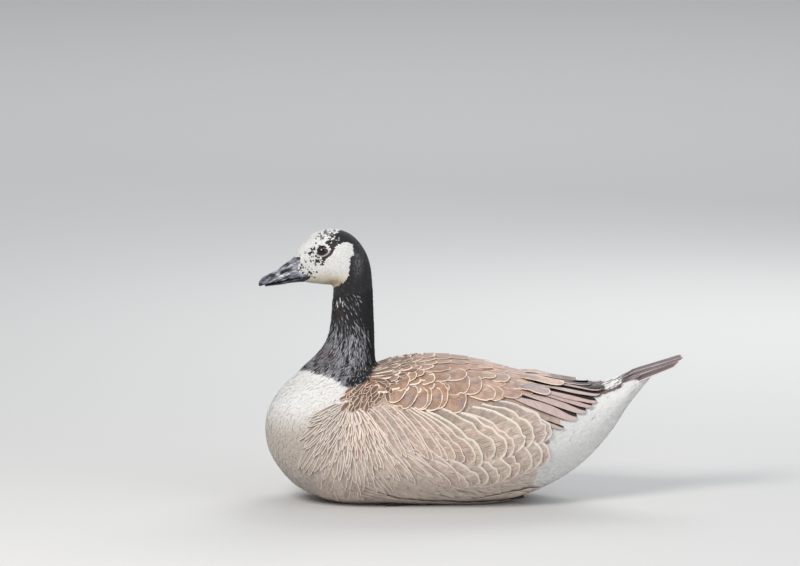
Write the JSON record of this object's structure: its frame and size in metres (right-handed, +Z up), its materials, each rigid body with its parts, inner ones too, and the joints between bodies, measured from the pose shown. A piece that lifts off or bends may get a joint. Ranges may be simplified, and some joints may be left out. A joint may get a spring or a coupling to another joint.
{
  "type": "canada goose",
  "caption": "Life-size still Canada goose sitting on its belly with raised neck, folded wings, upswept tail and tucked webbed feet.",
  "frame": {"origin": "on the floor under the middle of the whole length, bill tip to tail tip", "axes": "+Z up; the bill points along -X and the bird's left side faces -Y"},
  "size_m": [0.5023, 0.2086, 0.3216],
  "materials": {
    "face_plumage": "short white face feathers with black flecks",
    "black_plumage": "fine black neck feathers with a grey sheen",
    "flank_plumage": "white breast and pale brown flank feathers with buff tips",
    "wing_plumage": "warm brown wing feathers with cream edges",
    "tail_plumage": "blackish tail feathers over white coverts",
    "bill_horn": "satin slate-black horn",
    "eye": "wet dark brown",
    "foot_skin": "scaled black skin"
  },
  "bodies": {
    "root": {"head": "face_plumage", "bill_upper": "bill_horn", "bill_lower": "bill_horn", "eye_left": "eye", "eye_right": "eye", "neck": "black_plumage", "torso": "flank_plumage", "wing_left": "wing_plumage", "wing_right": "wing_plumage", "tail": "tail_plumage", "leg_left": "foot_skin", "leg_right": "foot_skin"}
  },
  "joints": []
}
